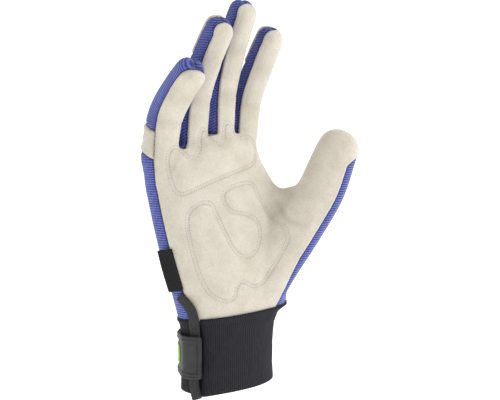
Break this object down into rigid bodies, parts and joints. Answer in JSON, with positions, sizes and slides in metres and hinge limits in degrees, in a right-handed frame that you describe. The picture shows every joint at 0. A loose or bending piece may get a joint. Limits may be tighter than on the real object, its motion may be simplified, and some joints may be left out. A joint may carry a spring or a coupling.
{
  "type": "gardening glove",
  "caption": "Right-hand gardening glove filled as when worn: suede palm, stretch rib-knit back and side strips, knuckle band, elastic knit cuff with a rubber closing tab.",
  "frame": {"origin": "centre of the hand's opening at the cuff's hem", "axes": "+Z from the cuff towards the fingertips, +X towards the thumb side, -Y out of the palm, so +Y out of the back of the hand"},
  "size_m": [0.1324, 0.0667, 0.248],
  "materials": {
    "palm_panel": "matte suede",
    "back_panel": "matte rib knit",
    "side_strip_index_middle": "matte rib knit",
    "side_strip_middle_ring": "matte rib knit",
    "side_strip_ring_little": "matte rib knit",
    "knuckle_band": "matte suede",
    "finger_back_index": "matte rib knit",
    "fingertip_cap_index": "matte suede",
    "finger_back_middle": "matte rib knit",
    "fingertip_cap_middle": "matte suede",
    "finger_back_ring": "matte rib knit",
    "fingertip_cap_ring": "matte suede",
    "finger_back_little": "matte rib knit",
    "cuff": "matte knit",
    "vent_tape": "matte woven tape",
    "closure_tab": "satin",
    "tab_mark": "satin",
    "side_label": "matte woven"
  },
  "bodies": {
    "root": {"palm_panel": "palm_panel", "back_panel": "back_panel", "side_strip_index_middle": "side_strip_index_middle", "side_strip_middle_ring": "side_strip_middle_ring", "side_strip_ring_little": "side_strip_ring_little", "knuckle_band": "knuckle_band", "finger_back_index": "finger_back_index", "fingertip_cap_index": "fingertip_cap_index", "finger_back_middle": "finger_back_middle", "fingertip_cap_middle": "fingertip_cap_middle", "finger_back_ring": "finger_back_ring", "fingertip_cap_ring": "fingertip_cap_ring", "finger_back_little": "finger_back_little", "cuff": "cuff", "vent_tape": "vent_tape", "closure_tab": "closure_tab", "tab_mark": "tab_mark", "side_label": "side_label"}
  },
  "joints": []
}
